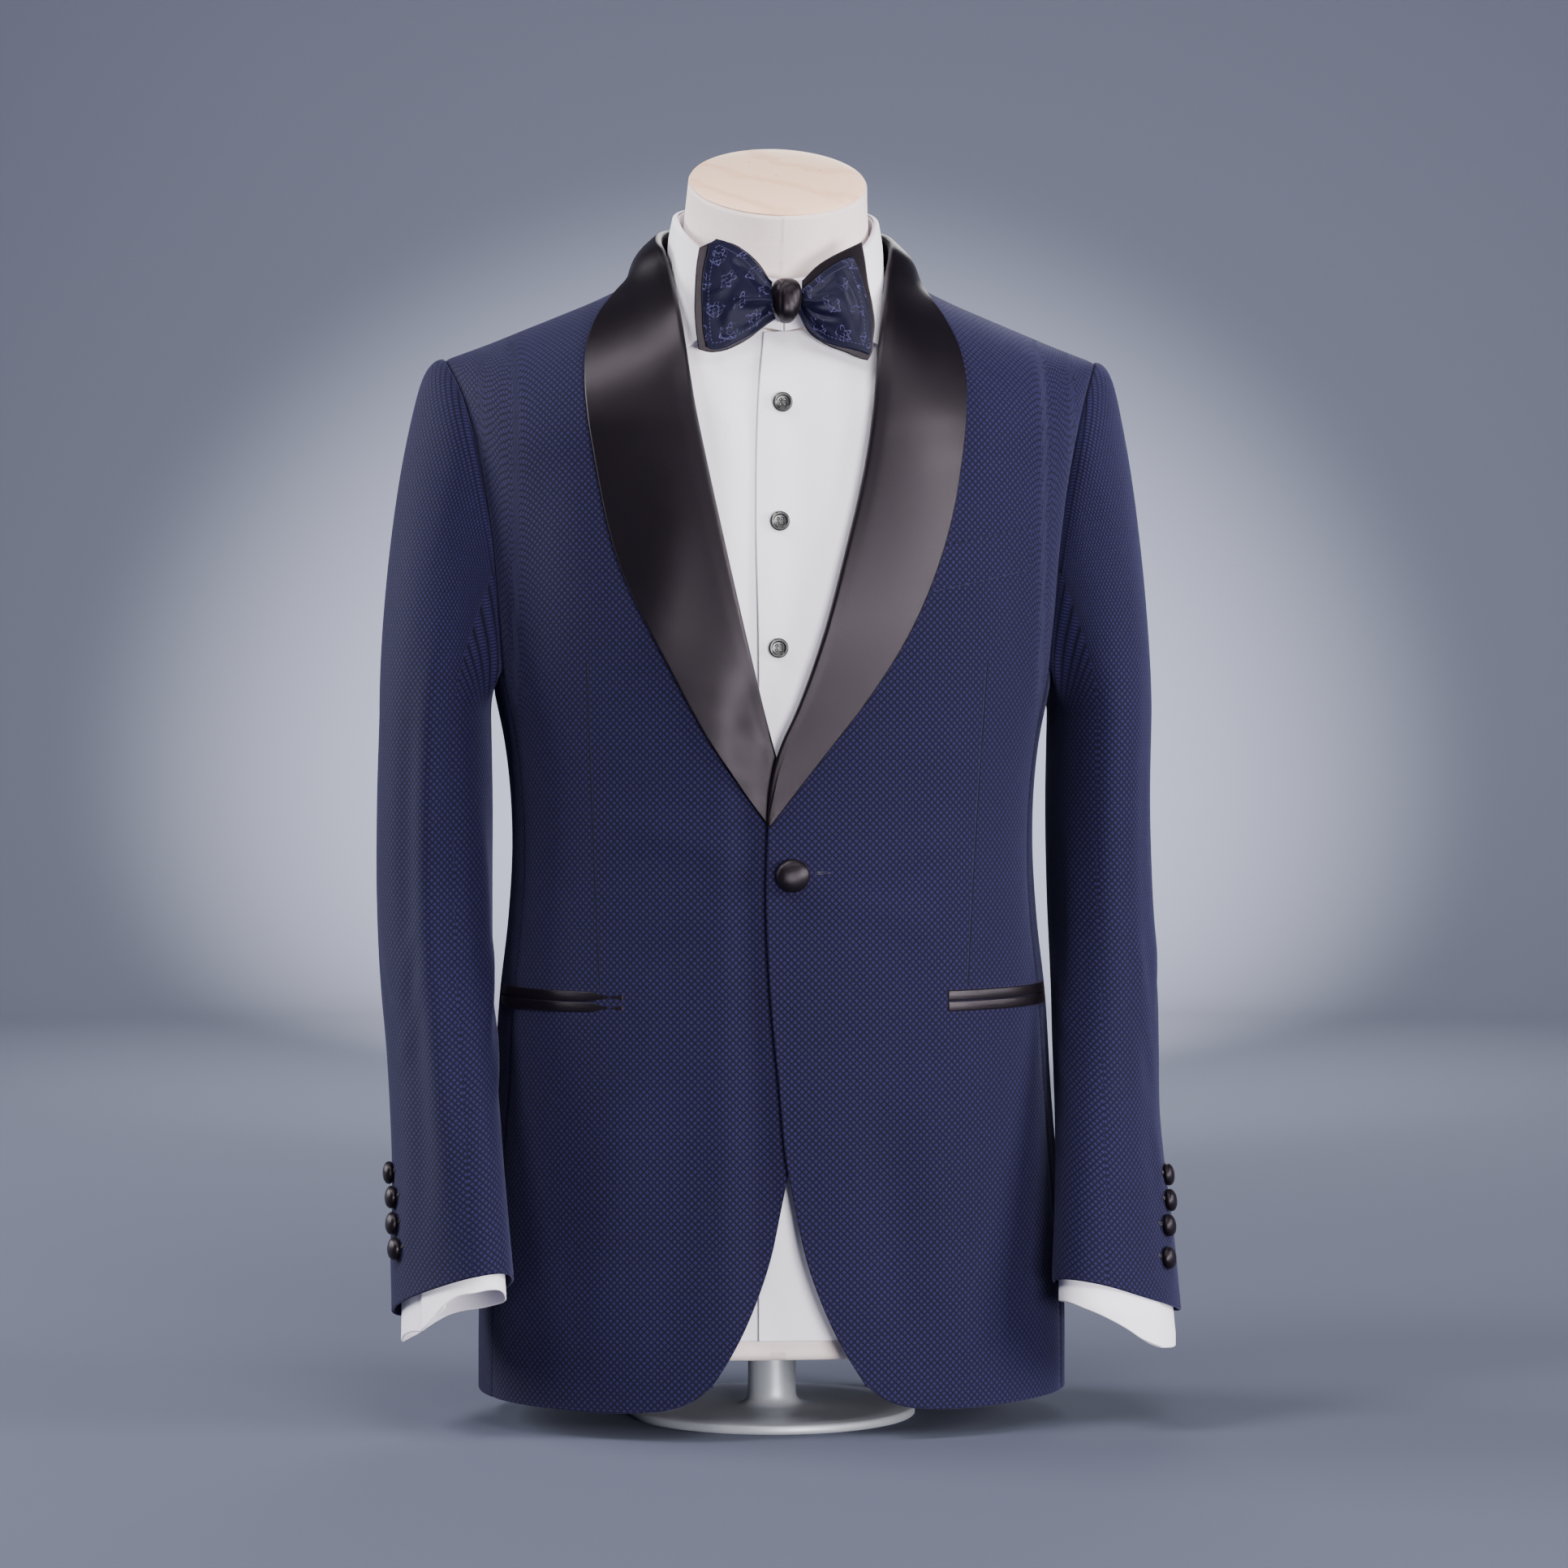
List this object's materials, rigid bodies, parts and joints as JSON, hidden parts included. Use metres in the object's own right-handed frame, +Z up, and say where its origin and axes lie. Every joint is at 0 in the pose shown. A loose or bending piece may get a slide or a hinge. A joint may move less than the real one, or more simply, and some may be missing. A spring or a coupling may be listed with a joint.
{
  "type": "tuxedo on a dress form",
  "caption": "Dinner jacket with a satin shawl collar over a white shirt and bow tie, worn by a limbless dress form on a short column with a flat round foot.",
  "frame": {"origin": "bottom centre of the whole, on the floor", "axes": "+Z up, the wearer faces -Y and has the left hand at +X"},
  "size_m": [0.5318, 0.2548, 0.8468],
  "materials": {
    "navy_cloth": "fine lozenge weave, soft sheen",
    "black_satin": "satin",
    "white_cotton": "matt",
    "black_button": "polished",
    "navy_silk": "figured satin",
    "canvas": "matt canvas stretched on a hard form",
    "pale_wood": "satin lacquer",
    "pale_steel": "satin painted"
  },
  "bodies": {
    "root": {"bow_back_left": "black_satin", "bow_back_right": "black_satin", "bow_front_left": "navy_silk", "bow_front_right": "navy_silk", "bow_knot": "black_satin", "breast_welt": "navy_cloth", "cuff_button_left_1": "black_satin", "cuff_button_left_2": "black_satin", "cuff_button_left_3": "black_satin", "cuff_button_left_4": "black_satin", "cuff_button_right_1": "black_satin", "cuff_button_right_2": "black_satin", "cuff_button_right_3": "black_satin", "cuff_button_right_4": "black_satin", "form_body": "canvas", "form_cap": "pale_wood", "form_foot": "pale_steel", "front_button": "black_satin", "jacket_back_left": "navy_cloth", "jacket_back_right": "navy_cloth", "jacket_front_left": "navy_cloth", "jacket_front_right": "navy_cloth", "jacket_side_left": "navy_cloth", "jacket_side_right": "navy_cloth", "jet_lower_left": "black_satin", "jet_lower_right": "black_satin", "jet_upper_left": "black_satin", "jet_upper_right": "black_satin", "shawl_left": "black_satin", "shawl_right": "black_satin", "shirt_back": "white_cotton", "shirt_button_1": "black_button", "shirt_button_2": "black_button", "shirt_button_3": "black_button", "shirt_collar_band": "white_cotton", "shirt_collar_leaf": "white_cotton", "shirt_cuff_left": "white_cotton", "shirt_cuff_right": "white_cotton", "shirt_front_left": "white_cotton", "shirt_front_right": "white_cotton", "sleeve_top_left": "navy_cloth", "sleeve_top_right": "navy_cloth", "sleeve_under_left": "navy_cloth", "sleeve_under_right": "navy_cloth"}
  },
  "joints": []
}
